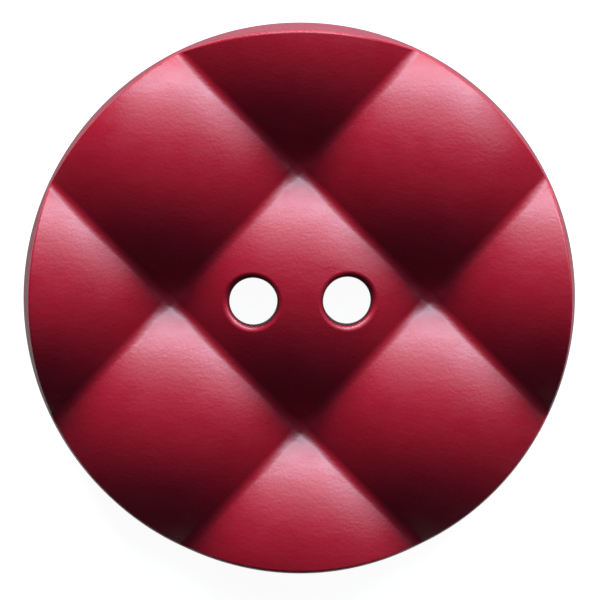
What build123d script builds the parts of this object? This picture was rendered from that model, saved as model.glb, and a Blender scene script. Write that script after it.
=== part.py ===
from build123d import *
import math
import os

# A two-hole sewing button, moulded in one piece. The front is quilted: nine
# equal domes sit on a square grid that is turned 45 degrees, and straight
# rounded grooves run between them out to the rim. The back is flat.
# Millimetres. The origin is the middle of the flat back, +Z leaves the front,
# and the two thread holes lie on X.

# Driving dimensions
button_radius = 14.0
button_height = 3.45
dome_radius = 10.0
groove_spacing = 9.29
groove_round = 0.7
girth_height = 0.85
back_radius = 13.05
side_draft = 4.5
rim_chamfer = 0.15
hole_radius = 1.21
hole_offset = 2.36
hole_round = 0.3
throat_height = 2.2
hole_back_radius = 1.55
trim_margin = 0.4

# Positions that follow from them. The ball whose path rounds a groove touches
# both domes, and its distances are taken from a dome's centre
dome_centre_height = button_height - dome_radius
blank_height = button_height + trim_margin
blank_top_radius = button_radius - (blank_height - girth_height) * math.tan(math.radians(side_draft))
ball_offset = groove_spacing / 2
ball_height = math.sqrt((dome_radius + groove_round) ** 2 - ball_offset**2)
contact_share = dome_radius / (dome_radius + groove_round)
contact_offset = ball_offset * contact_share
contact_height = ball_height * contact_share


# The plain turned body that the domes are cut into: it is widest at the girth,
# bevelled below it down to the back, and drafted above it
def make_blank():
    outline = Polyline(
        (0, 0),
        (back_radius, 0),
        (button_radius, girth_height),
        (blank_top_radius, blank_height),
        (0, blank_height),
        close=True,
    )
    return revolve(make_face(Plane.XZ * outline), Axis.Z)


# A row of three domes with two rounded grooves, turned about the line through
# the domes' centres
def make_row():
    end = groove_spacing + dome_radius
    far_contact = groove_spacing - contact_offset
    groove_bottom = ball_height - groove_round
    first = ThreePointArc((-end, 0), (-groove_spacing, dome_radius), (-far_contact, contact_height))
    left = ThreePointArc(first @ 1, (-ball_offset, groove_bottom), (-contact_offset, contact_height))
    middle = ThreePointArc(left @ 1, (0, dome_radius), (contact_offset, contact_height))
    right = ThreePointArc(middle @ 1, (ball_offset, groove_bottom), (far_contact, contact_height))
    last = ThreePointArc(right @ 1, (groove_spacing, dome_radius), (end, 0))
    axis = Line(last @ 1, first @ 0)
    profile = make_face(Curve() + [first, left, middle, right, last, axis])
    return revolve(profile, Axis.X)


# Nine equal domes: three rows one way joined to three rows the other way, so
# that every groove is rounded, and turned so that the grooves run diagonally
def make_quilt():
    row = make_row()
    rows = [Pos(0, y, dome_centre_height) * row for y in (-groove_spacing, 0, groove_spacing)]
    one_way = Part() + rows
    other_way = Rot(0, 0, 90) * one_way
    return Rot(0, 0, 45) * (one_way + other_way)


# The sharp rim is taken off where the drafted side meets the front
def chamfer_rim(body):
    walls = body.faces().filter_by(GeomType.CONE)
    rim = [edge for edge in walls.edges() if is_on_rim(edge)]
    return body.chamfer(rim_chamfer, None, rim)


def is_on_rim(edge):
    is_seam = edge.geom_type == GeomType.LINE
    return not is_seam and edge.center().Z > girth_height + rim_chamfer


# One thread hole: straight at the throat, and wider towards the back
def make_hole_cutter(x):
    upright = (Align.CENTER, Align.CENTER, Align.MIN)
    throat = Cylinder(hole_radius, blank_height, align=upright)
    taper = Cone(hole_back_radius, hole_radius, throat_height, align=upright)
    return Pos(x, 0, 0) * (throat + taper)


# Both holes, with their front edges rounded
def cut_holes(body):
    holed = body - make_hole_cutter(hole_offset) - make_hole_cutter(-hole_offset)
    throats = holed.faces().filter_by(GeomType.CYLINDER)
    front_edges = [find_front_edge(throat) for throat in throats]
    return holed.solid().fillet(hole_round, front_edges)


def find_front_edge(throat):
    rings = throat.edges().filter_by(GeomType.LINE, reverse=True)
    return rings.sort_by(Axis.Z)[-1]


def make_button():
    body = (make_blank() & make_quilt()).solid()
    body = chamfer_rim(body)
    return cut_holes(body)


button = make_button()
os.makedirs("parts", exist_ok=True)
export_step(button, "parts/button.step")
print("button volume in mm3:", button.volume)
print("button size in mm:", button.bounding_box().size)
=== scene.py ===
import math

import bpy
import numpy as np
from mathutils import Matrix, Vector, geometry


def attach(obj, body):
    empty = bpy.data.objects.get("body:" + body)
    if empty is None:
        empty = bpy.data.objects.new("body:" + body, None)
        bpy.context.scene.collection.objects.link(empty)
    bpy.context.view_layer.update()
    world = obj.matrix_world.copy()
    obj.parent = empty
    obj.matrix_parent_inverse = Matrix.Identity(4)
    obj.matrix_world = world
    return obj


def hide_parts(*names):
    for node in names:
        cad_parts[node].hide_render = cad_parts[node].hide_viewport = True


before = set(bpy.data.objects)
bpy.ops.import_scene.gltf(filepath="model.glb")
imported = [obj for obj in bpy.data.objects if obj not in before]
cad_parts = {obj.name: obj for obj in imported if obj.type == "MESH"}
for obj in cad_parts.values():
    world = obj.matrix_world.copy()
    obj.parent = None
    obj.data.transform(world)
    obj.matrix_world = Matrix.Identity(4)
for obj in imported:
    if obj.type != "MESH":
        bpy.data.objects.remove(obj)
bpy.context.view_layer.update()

# Driving dimensions of the button, in millimetres
MM = 0.001
BUTTON_RADIUS = 14.0
BUTTON_HEIGHT = 3.45
DOME_RADIUS = 10.0
GROOVE_SPACING = 9.29
GROOVE_ROUND = 0.7
GIRTH_HEIGHT = 0.85
BACK_RADIUS = 13.05
SIDE_DRAFT = math.radians(4.5)
RIM_ROUND = 0.19
GIRTH_ROUND = 0.15
BACK_ROUND = 0.12
HOLE_RADIUS = 1.21
HOLE_OFFSET = 2.36
HOLE_ROUND = 0.3
THROAT_HEIGHT = 2.2
THROAT_ROUND = 0.3
HOLE_BACK_RADIUS = 1.55
HOLE_BACK_ROUND = 0.08
CROSSING_FILL = 0.2
CROSSING_REACH = 0.6

# How far from the rim and from a hole the front's slope is taken for the rounding there
RIM_LEAD = 0.25
HOLE_LEAD = 0.4

# Positions that follow from them
DOME_CENTRE = BUTTON_HEIGHT - DOME_RADIUS
HALF_CELL = GROOVE_SPACING / 2
GROOVE_REACH = HALF_CELL * GROOVE_ROUND / (DOME_RADIUS + GROOVE_ROUND)
BALL_RING = math.sqrt((DOME_RADIUS + GROOVE_ROUND) ** 2 - HALF_CELL**2)
BALL_AT_CROSSING = DOME_CENTRE + math.sqrt((DOME_RADIUS + GROOVE_ROUND) ** 2 - 2 * HALF_CELL**2)
ROOT_HALF = math.sqrt(0.5)

# Mesh density, in millimetres, radians, steps and shares of a length
GRID_STEP = 0.2
GRID_MARGIN = 0.07
GROOVE_SHARES = (0, 0.17, 0.34, 0.5, 0.67, 0.84, 1, 1.2, 1.6)
RIM_STEPS = 900
GROOVE_END_STEPS = 41
GROOVE_END_SPREAD = 0.05
SMALLEST_TURN = 0.0008
HOLE_STEPS = 144
ROUND_STEPS = 8
EDGE_STEPS = 5
THROAT_STEPS = 2
HOLE_BACK_STEPS = 4
THIRDS = (0.33, 0.67)
QUARTERS = (0.25, 0.5, 0.75)

# Limits of the calculation, in millimetres
SMALLEST_SQUARE = 0.01
SLOPE_STEP = 0.004
RIM_SEARCH_DEPTH = 1.0
RIM_SEARCH_STEPS = 40
MERGE_DISTANCE = 1e-7
INSIDE_SHARE = 0.999

# Colours of the plastic: its two cloud tones, then painted shade on the upright walls and darker
# painted shade inside the holes
DARK_TONE = (0.185, 0.0034, 0.0118, 1)
LIGHT_TONE = (0.199, 0.0042, 0.0140, 1)
WALL_SHADE_COLOR = (0.09, 0.0055, 0.0145, 1)
HOLE_SHADE_COLOR = (0.012, 0.0012, 0.0022, 1)

# Noises in the plastic: scale, detail and roughness. Two of them run in streaks
CLOUDS = (420, 3, 0.6)
SCUFFS = (4200, 3, 0.62)
GRAIN = (6500, 2, 0.5)
PATCHES = (1500, 2, 0.5)
STREAK_TURN = math.radians(35)
SCUFF_SQUEEZE = 2.6
PATCH_SQUEEZE = 2.0

# The plastic's finish, and where the walls' duller finish, their painted shade and the painted
# shade in the holes go. A slope is 1 on the level and 0 on a wall, and lengths are in metres
POLISH = (0.23, 0.41)
WALL_DULLNESS = 0.48
RELIEF_DEPTH = 0.000007
CLOUD_CONTRAST = (0.35, 0.65)
WALL_SLOPES = (0.25, 0.6)
HOLE_SLOPES = (0.45, 0.85)
HOLE_ZONE = (0.006, 0.007)

# The stage, in metres
FLOOR_HALF = 3.0
FLOOR_GAP = 0.00002
FLOOR_COLOR = (0.3, 0.3, 0.3, 1)
FLOOR_GLOW = 0.95
WORLD_STRENGTH = 0.01
LAMP_DISTANCE = 0.5


# The height of the front at a point: domes, with the grooves between them rounded by a
# rolling ball and the grooves' crossings softly filled
def front_height(x, y):
    u = (x + y) * ROOT_HALF
    v = (y - x) * ROOT_HALF
    cell_u = np.clip(np.round(u / GROOVE_SPACING), -1, 1)
    cell_v = np.clip(np.round(v / GROOVE_SPACING), -1, 1)
    in_u = u - cell_u * GROOVE_SPACING
    in_v = v - cell_v * GROOVE_SPACING
    far_u = in_u * cell_u > 0
    far_v = in_v * cell_v > 0
    to_u = np.where(far_u, HALF_CELL, HALF_CELL - np.abs(in_u))
    to_v = np.where(far_v, HALF_CELL, HALF_CELL - np.abs(in_v))
    dome = DOME_CENTRE + np.sqrt(
        np.maximum(DOME_RADIUS**2 - in_u**2 - in_v**2, SMALLEST_SQUARE)
    )
    ring_u = BALL_RING - np.sqrt(np.maximum(GROOVE_ROUND**2 - to_u**2, 0))
    ring_v = BALL_RING - np.sqrt(np.maximum(GROOVE_ROUND**2 - to_v**2, 0))
    groove_u = DOME_CENTRE + np.sqrt(np.maximum(ring_u**2 - in_v**2, SMALLEST_SQUARE))
    groove_v = DOME_CENTRE + np.sqrt(np.maximum(ring_v**2 - in_u**2, SMALLEST_SQUARE))
    ball = BALL_AT_CROSSING - np.sqrt(np.maximum(GROOVE_ROUND**2 - to_u**2 - to_v**2, 0))
    by_u = to_u < GROOVE_REACH
    by_v = to_v < GROOVE_REACH
    before_u = far_v | (BALL_RING * np.abs(in_v) / ring_u <= HALF_CELL)
    before_v = far_u | (BALL_RING * np.abs(in_u) / ring_v <= HALF_CELL)
    height = np.where(by_v & before_v, groove_v, dome)
    height = np.where(by_u & before_u, groove_u, height)
    both_before = by_u & before_u & by_v & before_v
    height = np.where(both_before, np.maximum(groove_u, groove_v), height)
    past = (by_u & ~before_u & ~(by_v & before_v)) | (by_v & ~before_v & ~(by_u & before_u))
    height = np.where(past, ball, height)
    from_crossing = (HALF_CELL - np.abs(u)) ** 2 + (HALF_CELL - np.abs(v)) ** 2
    return height + CROSSING_FILL * np.exp(-from_crossing / CROSSING_REACH**2)


def front_normal(x, y):
    step = SLOPE_STEP
    slope_x = (front_height(x + step, y) - front_height(x - step, y)) / (2 * step)
    slope_y = (front_height(x, y + step) - front_height(x, y - step)) / (2 * step)
    return unit(np.stack([-slope_x, -slope_y, np.ones_like(slope_x)], axis=-1))


def unit(vectors):
    return vectors / np.linalg.norm(vectors, axis=-1, keepdims=True)


# A circular arc that rounds the corner between two straight runs of a section
def round_corner(before, corner, after, radius, count):
    into = unit(corner - before)
    out = unit(after - corner)
    turn = np.arccos(np.clip((into * out).sum(-1, keepdims=True), -1, 1))
    reach = radius * np.tan(turn / 2)
    start = corner - into * reach
    end = corner + out * reach
    weight = np.cos(turn / 2)
    points = []
    for t in np.linspace(0, 1, count + 1):
        by_start = (1 - t) ** 2
        by_corner = 2 * t * (1 - t) * weight
        by_end = t**2
        blend = by_start * start + by_corner * corner + by_end * end
        points.append(blend / (by_start + by_corner + by_end))
    return points


def between(start, end, shares):
    return [start + (end - start) * share for share in shares]


# Lines of the front's grid along one diagonal: close together at the grooves
def grid_lines():
    near = [GROOVE_REACH * share for share in GROOVE_SHARES]
    lines = []
    for groove in (-HALF_CELL, HALF_CELL):
        lines += [groove + side * offset for side in (-1, 1) for offset in near]
    count = int(2 * BUTTON_RADIUS / GRID_STEP)
    for line in np.linspace(-BUTTON_RADIUS, BUTTON_RADIUS, count + 1):
        if min(abs(line - HALF_CELL), abs(line + HALF_CELL)) > near[-1] + GRID_STEP / 2:
            lines.append(line)
    return np.array(sorted(set(lines)))


# Angles around the rim: closer together where the grooves run out
def rim_angles():
    ends = []
    reach = math.asin(HALF_CELL / BUTTON_RADIUS)
    for quarter in range(4):
        middle = math.radians(45 + 90 * quarter)
        ends += [middle - reach, middle + reach]
    angles = list(np.linspace(0, 2 * math.pi, RIM_STEPS, endpoint=False))
    for end in ends:
        spread = np.linspace(-GROOVE_END_SPREAD, GROOVE_END_SPREAD, GROOVE_END_STEPS)
        angles += list(end + spread)
    angles = np.unique(np.round(np.mod(angles, 2 * math.pi), 7))
    keep = np.diff(angles, append=angles[0] + 2 * math.pi) > SMALLEST_TURN
    return angles[keep]


# The section of the rim at each angle, from the front down to the back
def rim_section(angles):
    c = np.cos(angles)
    s = np.sin(angles)
    low = np.full_like(angles, BUTTON_RADIUS - RIM_SEARCH_DEPTH)
    high = np.full_like(angles, BUTTON_RADIUS)
    for _ in range(RIM_SEARCH_STEPS):
        middle = (low + high) / 2
        side = GIRTH_HEIGHT + (BUTTON_RADIUS - middle) / math.tan(SIDE_DRAFT)
        under = front_height(middle * c, middle * s) < side
        low = np.where(under, middle, low)
        high = np.where(under, high, middle)
    corner_r = (low + high) / 2
    corner_z = front_height(corner_r * c, corner_r * s)
    inner_r = corner_r - RIM_LEAD
    inner_z = front_height(inner_r * c, inner_r * s)
    before = np.stack([inner_r, inner_z], -1)
    corner = np.stack([corner_r, corner_z], -1)
    girth = np.broadcast_to([BUTTON_RADIUS, GIRTH_HEIGHT], corner.shape)
    back = np.broadcast_to([BACK_RADIUS, 0.0], corner.shape)
    middle = np.broadcast_to([0.0, 0.0], corner.shape)
    rim = round_corner(before, corner, girth, RIM_ROUND, ROUND_STEPS)
    waist = round_corner(corner, girth, back, GIRTH_ROUND, EDGE_STEPS)
    foot = round_corner(girth, back, middle, BACK_ROUND, EDGE_STEPS)
    side = between(rim[-1], waist[0], QUARTERS)
    bevel = between(waist[-1], foot[0], THIRDS)
    first = rim[0].copy()
    first[:, 1] = front_height(first[:, 0] * c, first[:, 0] * s)
    return [first] + rim[1:] + side + waist + bevel + foot


# The section of a hole at each angle, from the front down to the back
def hole_section(angles, centre_x):
    c = np.cos(angles)
    s = np.sin(angles)

    def height(radius):
        return front_height(centre_x + radius * c, radius * s)

    wall = np.full_like(angles, HOLE_RADIUS)
    outer = wall + HOLE_LEAD
    before = np.stack([outer, height(outer)], -1)
    corner = np.stack([wall, height(wall)], -1)
    throat = np.broadcast_to([HOLE_RADIUS, THROAT_HEIGHT], corner.shape)
    back = np.broadcast_to([HOLE_BACK_RADIUS, 0.0], corner.shape)
    outside = np.broadcast_to([HOLE_BACK_RADIUS + 1.0, 0.0], corner.shape)
    mouth = round_corner(before, corner, throat, HOLE_ROUND, ROUND_STEPS)
    waist = round_corner(corner, throat, back, THROAT_ROUND, THROAT_STEPS)
    foot = round_corner(throat, back, outside, HOLE_BACK_ROUND, HOLE_BACK_STEPS)
    straight = between(mouth[-1], waist[0], THIRDS)
    taper = between(waist[-1], foot[0], THIRDS)
    first = mouth[0].copy()
    first[:, 1] = height(first[:, 0])
    return [first] + mouth[1:] + straight + waist + taper + foot


class Builder:
    """Collects the vertices, normals and faces of one closed mesh, in millimetres."""

    def __init__(self):
        self.points = []
        self.normals = []
        self.faces = []
        self.total = 0

    def add(self, points, normals):
        first = self.total
        self.points.append(points)
        self.normals.append(normals)
        self.total += len(points)
        return np.arange(first, self.total)

    def add_strip(self, upper, lower, flip):
        following = np.roll(np.arange(len(upper)), -1)
        for i, j in enumerate(following):
            quad = (upper[i], lower[i], lower[j], upper[j])
            self.faces.append(quad[::-1] if flip else quad)


# Rings of a section swept around an axis, with normals from their neighbours
def ring_points(section, angles, centre_x):
    rings = []
    for run in section:
        x = centre_x + run[:, 0] * np.cos(angles)
        y = run[:, 0] * np.sin(angles)
        rings.append(np.stack([x, y, run[:, 1]], -1))
    return np.array(rings)


def ring_normals(rings, inward):
    around = np.roll(rings, -1, axis=1) - np.roll(rings, 1, axis=1)
    down = np.empty_like(rings)
    down[1:-1] = unit(rings[2:] - rings[1:-1]) + unit(rings[1:-1] - rings[:-2])
    down[0] = rings[1] - rings[0]
    down[-1] = rings[-1] - rings[-2]
    normals = unit(np.cross(down, around))
    return -normals if inward else normals


def triangulate(points, loops):
    edges = []
    for loop in loops:
        edges += list(zip(loop.tolist(), np.roll(loop, -1).tolist()))
    flat = [Vector((float(p[0]), float(p[1]))) for p in points]
    result = geometry.delaunay_2d_cdt(flat, edges, [], 0, MERGE_DISTANCE, True)
    verts, _, faces, origins, _, _ = result
    if len(verts) != len(points):
        raise ValueError("the triangulation merged or added points")
    back = [origin[0] for origin in origins]
    return np.array([[back[i] for i in face] for face in faces])


# The radius of a loop around its centre in the direction of each point
def loop_radius(angles, radii, x, y):
    turn = np.mod(np.arctan2(y, x), 2 * math.pi)
    return np.interp(turn, angles, radii, period=2 * math.pi)


# Points of the front's grid that stand clear of the rim and of the holes
def field_points(angles, rim_radii, hole_angles, hole_radii):
    lines = grid_lines()
    u, v = np.meshgrid(lines, lines)
    x = ((u - v) * ROOT_HALF).ravel()
    y = ((u + v) * ROOT_HALF).ravel()
    inside = np.hypot(x, y) < loop_radius(angles, rim_radii, x, y) - GRID_MARGIN
    for centre, radii in hole_radii.items():
        reach = loop_radius(hole_angles, radii, x - centre, y)
        inside &= np.hypot(x - centre, y) > reach + GRID_MARGIN
    return x[inside], y[inside]


# Adds the rings of one section, whose ends share the normals of the front and the back
def add_rings(build, rings, inward):
    normals = ring_normals(rings, inward)
    normals[0] = front_normal(rings[0][:, 0], rings[0][:, 1])
    normals[-1] = (0, 0, -1)
    return [build.add(ring, normal) for ring, normal in zip(rings, normals)]


# The faces of the front or the back, which fill the first loop and leave the holes open
def cap_faces(points, level, loops, hole_angles, hole_radii):
    used = np.concatenate([level] + loops)
    place = np.full(len(points), -1)
    place[used] = np.arange(len(used))
    faces = used[triangulate(points[used], [place[loop] for loop in loops])]
    middle = points[faces].mean(axis=1)
    keep = np.ones(len(faces), bool)
    for centre, radii in hole_radii.items():
        x = middle[:, 0] - centre
        y = middle[:, 1]
        keep &= np.hypot(x, y) > loop_radius(hole_angles, radii, x, y) * INSIDE_SHARE
    return faces[keep]


def build_button_mesh():
    build = Builder()
    angles = rim_angles()
    rim_run = rim_section(angles)
    hole_angles = np.linspace(0, 2 * math.pi, HOLE_STEPS, endpoint=False)
    hole_runs = {x: hole_section(hole_angles, x) for x in (-HOLE_OFFSET, HOLE_OFFSET)}
    front_radii = {x: run[0][:, 0] for x, run in hole_runs.items()}
    back_radii = {x: run[-1][:, 0] for x, run in hole_runs.items()}

    x, y = field_points(angles, rim_run[0][:, 0], hole_angles, front_radii)
    field = build.add(np.stack([x, y, front_height(x, y)], -1), front_normal(x, y))
    rim_rings = add_rings(build, ring_points(rim_run, angles, 0.0), False)
    hole_rings = [
        add_rings(build, ring_points(run, hole_angles, centre), True)
        for centre, run in hole_runs.items()
    ]

    for upper, lower in zip(rim_rings, rim_rings[1:]):
        build.add_strip(upper, lower, False)
    for rings in hole_rings:
        for upper, lower in zip(rings, rings[1:]):
            build.add_strip(upper, lower, True)

    points = np.concatenate(build.points)
    nothing = np.array([], int)
    front_loops = [rings[0] for rings in [rim_rings] + hole_rings]
    back_loops = [rings[-1] for rings in [rim_rings] + hole_rings]
    front = cap_faces(points, field, front_loops, hole_angles, front_radii)
    back = cap_faces(points, nothing, back_loops, hole_angles, back_radii)
    build.faces += [tuple(face) for face in front]
    build.faces += [tuple(face[::-1]) for face in back]
    return points, np.concatenate(build.normals), build.faces


def make_button():
    points, normals, faces = build_button_mesh()
    mesh = bpy.data.meshes.new("quilted_button")
    mesh.from_pydata((points * MM).tolist(), [], [[int(i) for i in face] for face in faces])
    mesh.validate()
    mesh.shade_smooth()
    mesh.normals_split_custom_set_from_vertices(normals.tolist())
    button = bpy.data.objects.new("quilted_button", mesh)
    bpy.context.scene.collection.objects.link(button)
    return button


def new_material(name):
    material = bpy.data.materials.new(name)
    material.use_nodes = True
    material.node_tree.nodes.clear()
    return material, material.node_tree.nodes, material.node_tree.links


# Satin raspberry plastic: fine scuffs and grain in its relief, broader patches in its gloss,
# faint clouds in its colour, a duller finish with painted shade on the upright walls, and darker
# painted shade inside the holes
def make_plastic():
    material, nodes, links = new_material("raspberry_plastic")
    output = nodes.new("ShaderNodeOutputMaterial")
    shader = nodes.new("ShaderNodeBsdfPrincipled")
    links.new(shader.outputs["BSDF"], output.inputs["Surface"])
    shader.inputs["Specular IOR Level"].default_value = 1.0
    shader.inputs["IOR"].default_value = 1.5
    coordinates = nodes.new("ShaderNodeTexCoord")
    place = coordinates.outputs["Object"]

    split = nodes.new("ShaderNodeSeparateXYZ")
    links.new(coordinates.outputs["Normal"], split.inputs[0])
    slope = add_math(nodes, links, "ABSOLUTE", split.outputs["Z"])
    wall = add_range(nodes, links, slope, WALL_SLOPES, (1, 0))

    clouds = add_noise(nodes, links, place, CLOUDS)
    cloudy = add_range(nodes, links, clouds, CLOUD_CONTRAST, (0, 1))
    tone = add_mix(nodes, links, DARK_TONE, LIGHT_TONE, cloudy)
    # Painted shade: the upright walls are mixed towards a darker colour
    wall_shaded = add_mix(nodes, links, tone, WALL_SHADE_COLOR, wall)
    # Painted shade: the steep walls near the middle, inside the holes, are mixed towards near
    # black
    from_middle = nodes.new("ShaderNodeVectorMath")
    from_middle.operation = "LENGTH"
    links.new(place, from_middle.inputs[0])
    inner = add_range(nodes, links, from_middle.outputs["Value"], HOLE_ZONE, (1, 0))
    steep = add_range(nodes, links, slope, HOLE_SLOPES, (1, 0))
    hole_shade = add_math(nodes, links, "MULTIPLY", inner, steep)
    shaded = add_mix(nodes, links, wall_shaded, HOLE_SHADE_COLOR, hole_shade)
    links.new(shaded, shader.inputs["Base Color"])

    streaks = add_streaks(nodes, links, place, PATCH_SQUEEZE)
    patches = add_noise(nodes, links, streaks, PATCHES)
    polish = add_range(nodes, links, patches, (0, 1), POLISH)
    dullness = add_range(nodes, links, wall, (0, 1), (0, WALL_DULLNESS))
    links.new(add_math(nodes, links, "ADD", polish, dullness), shader.inputs["Roughness"])

    streaks = add_streaks(nodes, links, place, SCUFF_SQUEEZE)
    scuffs = add_noise(nodes, links, streaks, SCUFFS)
    grain = add_noise(nodes, links, place, GRAIN)
    bump = nodes.new("ShaderNodeBump")
    bump.inputs["Strength"].default_value = 1.0
    bump.inputs["Distance"].default_value = RELIEF_DEPTH
    links.new(add_math(nodes, links, "ADD", scuffs, grain), bump.inputs["Height"])
    links.new(bump.outputs["Normal"], shader.inputs["Normal"])
    return material


def add_noise(nodes, links, vector, settings):
    noise = nodes.new("ShaderNodeTexNoise")
    for name, value in zip(("Scale", "Detail", "Roughness"), settings):
        noise.inputs[name].default_value = value
    links.new(vector, noise.inputs["Vector"])
    return noise.outputs["Fac"]


# The object's coordinates, turned and squeezed so that a noise runs into streaks
def add_streaks(nodes, links, place, squeeze):
    mapping = nodes.new("ShaderNodeMapping")
    mapping.inputs["Rotation"].default_value[2] = STREAK_TURN
    mapping.inputs["Scale"].default_value[0] = 1 / squeeze
    links.new(place, mapping.inputs["Vector"])
    return mapping.outputs["Vector"]


# A blend of two colours. The first is a colour or another node's output
def add_mix(nodes, links, first, second, factor):
    mix = nodes.new("ShaderNodeMix")
    mix.data_type = "RGBA"
    if isinstance(first, tuple):
        mix.inputs["A"].default_value = first
    else:
        links.new(first, mix.inputs["A"])
    mix.inputs["B"].default_value = second
    links.new(factor, mix.inputs["Factor"])
    return mix.outputs["Result"]


def add_math(nodes, links, operation, *values):
    node = nodes.new("ShaderNodeMath")
    node.operation = operation
    for index, value in enumerate(values):
        links.new(value, node.inputs[index])
    return node.outputs[0]


def add_range(nodes, links, value, given, wanted):
    node = nodes.new("ShaderNodeMapRange")
    links.new(value, node.inputs["Value"])
    node.inputs["From Min"].default_value = given[0]
    node.inputs["From Max"].default_value = given[1]
    node.inputs["To Min"].default_value = wanted[0]
    node.inputs["To Max"].default_value = wanted[1]
    return node.outputs["Result"]


# A pale floor just under the button. It glows nearly white to the camera and in mirrored
# and passing rays, and still takes the button's shadow
def make_floor():
    mesh = bpy.data.meshes.new("floor")
    half = FLOOR_HALF
    corners = [(-half, -half, 0), (half, -half, 0), (half, half, 0), (-half, half, 0)]
    mesh.from_pydata(corners, [], [(0, 1, 2, 3)])
    floor = bpy.data.objects.new("floor", mesh)
    floor.location.z = -FLOOR_GAP
    bpy.context.scene.collection.objects.link(floor)
    material, nodes, links = new_material("pale_floor")
    output = nodes.new("ShaderNodeOutputMaterial")
    diffuse = nodes.new("ShaderNodeBsdfDiffuse")
    diffuse.inputs["Color"].default_value = FLOOR_COLOR
    glow = nodes.new("ShaderNodeEmission")
    rays = nodes.new("ShaderNodeLightPath").outputs
    seen = add_math(nodes, links, "MAXIMUM", rays["Is Camera Ray"], rays["Is Glossy Ray"])
    seen = add_math(nodes, links, "MAXIMUM", seen, rays["Is Transmission Ray"])
    level = nodes.new("ShaderNodeMath")
    level.operation = "MULTIPLY"
    level.inputs[1].default_value = FLOOR_GLOW
    links.new(seen, level.inputs[0])
    links.new(level.outputs[0], glow.inputs["Strength"])
    total = nodes.new("ShaderNodeAddShader")
    links.new(diffuse.outputs[0], total.inputs[0])
    links.new(glow.outputs[0], total.inputs[1])
    links.new(total.outputs[0], output.inputs["Surface"])
    mesh.materials.append(material)
    return floor


def aim(thing, target):
    direction = Vector(target) - thing.location
    thing.rotation_euler = direction.to_track_quat("-Z", "Y").to_euler()


# An oblong softbox that faces the button: its slant is measured from upright, and
# its bearing from the top of the picture towards the right, both in degrees
def add_softbox(name, slant, bearing, size, power, color):
    data = bpy.data.lights.new(name, "AREA")
    data.shape = "RECTANGLE"
    data.size, data.size_y = size
    data.energy = power
    data.color = color
    softbox = bpy.data.objects.new(name, data)
    slant = math.radians(slant)
    bearing = math.radians(bearing)
    across = math.sin(slant)
    softbox.location = LAMP_DISTANCE * Vector(
        (across * math.sin(bearing), across * math.cos(bearing), math.cos(slant))
    )
    aim(softbox, (0, 0, 0))
    bpy.context.scene.collection.objects.link(softbox)
    return softbox


# Four lamps. The low key lights the plastic and gives it no gloss, and the other three
# give the highlights. All stand towards the top of the picture, the side one to the right
def make_lights():
    key = add_softbox(
        "key_softbox", slant=75.5, bearing=8, size=(0.8, 0.14), power=15, color=(1, 1, 1)
    )
    key.visible_glossy = False
    add_softbox(
        "high_softbox", slant=35, bearing=8, size=(0.6, 0.19), power=0.46, color=(0.62, 0.82, 1)
    )
    add_softbox(
        "low_softbox", slant=54, bearing=8, size=(0.6, 0.17), power=2.2, color=(0.64, 0.83, 1)
    )
    add_softbox(
        "side_softbox", slant=46, bearing=50, size=(0.35, 0.16), power=0.32, color=(0.55, 0.8, 1)
    )


def make_world():
    world = bpy.data.worlds.new("world")
    world.use_nodes = True
    background = world.node_tree.nodes["Background"]
    background.inputs["Color"].default_value = (1, 1, 1, 1)
    background.inputs["Strength"].default_value = WORLD_STRENGTH
    bpy.context.scene.world = world


# A camera that looks down on the button as in the photo, leaning a little up and left
def make_camera():
    data = bpy.data.cameras.new("camera")
    camera = bpy.data.objects.new("camera", data)
    bpy.context.scene.collection.objects.link(camera)
    data.sensor_width = 36
    distance = 0.6
    width = 0.03044
    data.lens = data.sensor_width * distance / width
    data.clip_end = 10
    lean_up = math.radians(5.6)
    lean_left = math.radians(1.2)
    turn = math.radians(0.6)
    target = Vector((0.00003, -0.00013, 0.00085))
    back = Vector((-math.tan(lean_left), math.tan(lean_up), 1)).normalized()
    right = Vector((math.cos(turn), -math.sin(turn), 0))
    right = (right - right.dot(back) * back).normalized()
    up = back.cross(right)
    place = Matrix((right, up, back)).transposed().to_4x4()
    place.translation = target + distance * back
    camera.matrix_world = place
    bpy.context.scene.camera = camera


button = make_button()
button.data.materials.append(make_plastic())
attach(button, "root")
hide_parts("button")

make_floor()
make_lights()
make_world()
make_camera()
bpy.context.scene.view_settings.view_transform = "Standard"
